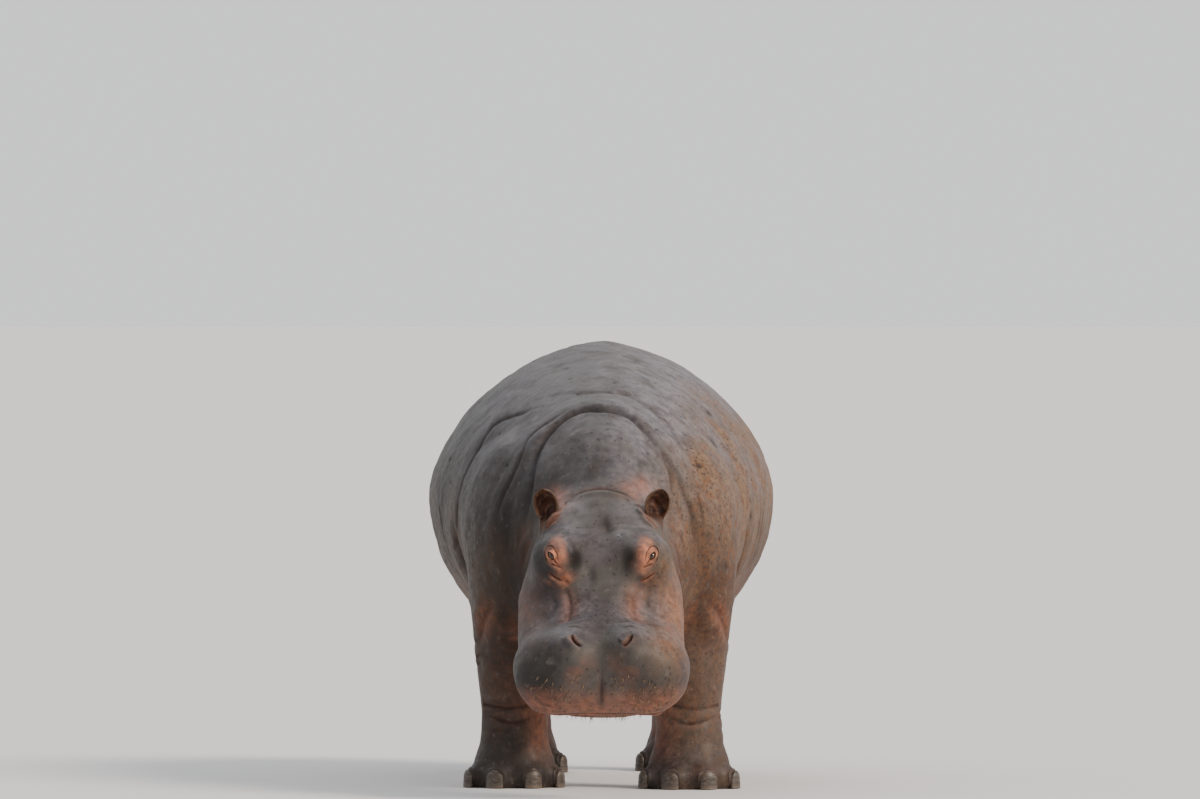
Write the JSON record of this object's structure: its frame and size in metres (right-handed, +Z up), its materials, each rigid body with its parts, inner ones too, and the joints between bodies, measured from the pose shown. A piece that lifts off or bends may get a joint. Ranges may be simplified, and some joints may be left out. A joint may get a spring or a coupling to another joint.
{
  "type": "hippopotamus",
  "caption": "Life-size still hippopotamus that stands on its four feet with its head lowered, in parts that meet at thin cuts, for museum or stage scenery.",
  "frame": {"origin": "bottom centre of the box round the whole animal, on the floor between its feet", "axes": "+Z up; the animal faces -Y, its left side is +X and its tail is towards +Y"},
  "size_m": [1.1464, 3.149, 1.4515],
  "materials": {
    "skin": "thick grey-brown hide, damp sheen, fine creases",
    "nail": "dull dark horn",
    "eye": "wet dark brown eye"
  },
  "bodies": {
    "root": {"ear_left": "skin", "ear_right": "skin", "eye_left": "eye", "eye_right": "eye", "foot_front_left": "skin", "foot_front_right": "skin", "foot_hind_left": "skin", "foot_hind_right": "skin", "head": "skin", "jaw": "skin", "leg_front_left": "skin", "leg_front_right": "skin", "leg_hind_left": "skin", "leg_hind_right": "skin", "nail_front_left_1": "nail", "nail_front_left_2": "nail", "nail_front_left_3": "nail", "nail_front_left_4": "nail", "nail_front_right_1": "nail", "nail_front_right_2": "nail", "nail_front_right_3": "nail", "nail_front_right_4": "nail", "nail_hind_left_1": "nail", "nail_hind_left_2": "nail", "nail_hind_left_3": "nail", "nail_hind_left_4": "nail", "nail_hind_right_1": "nail", "nail_hind_right_2": "nail", "nail_hind_right_3": "nail", "nail_hind_right_4": "nail", "neck": "skin", "tail": "skin", "trunk": "skin"}
  },
  "joints": []
}
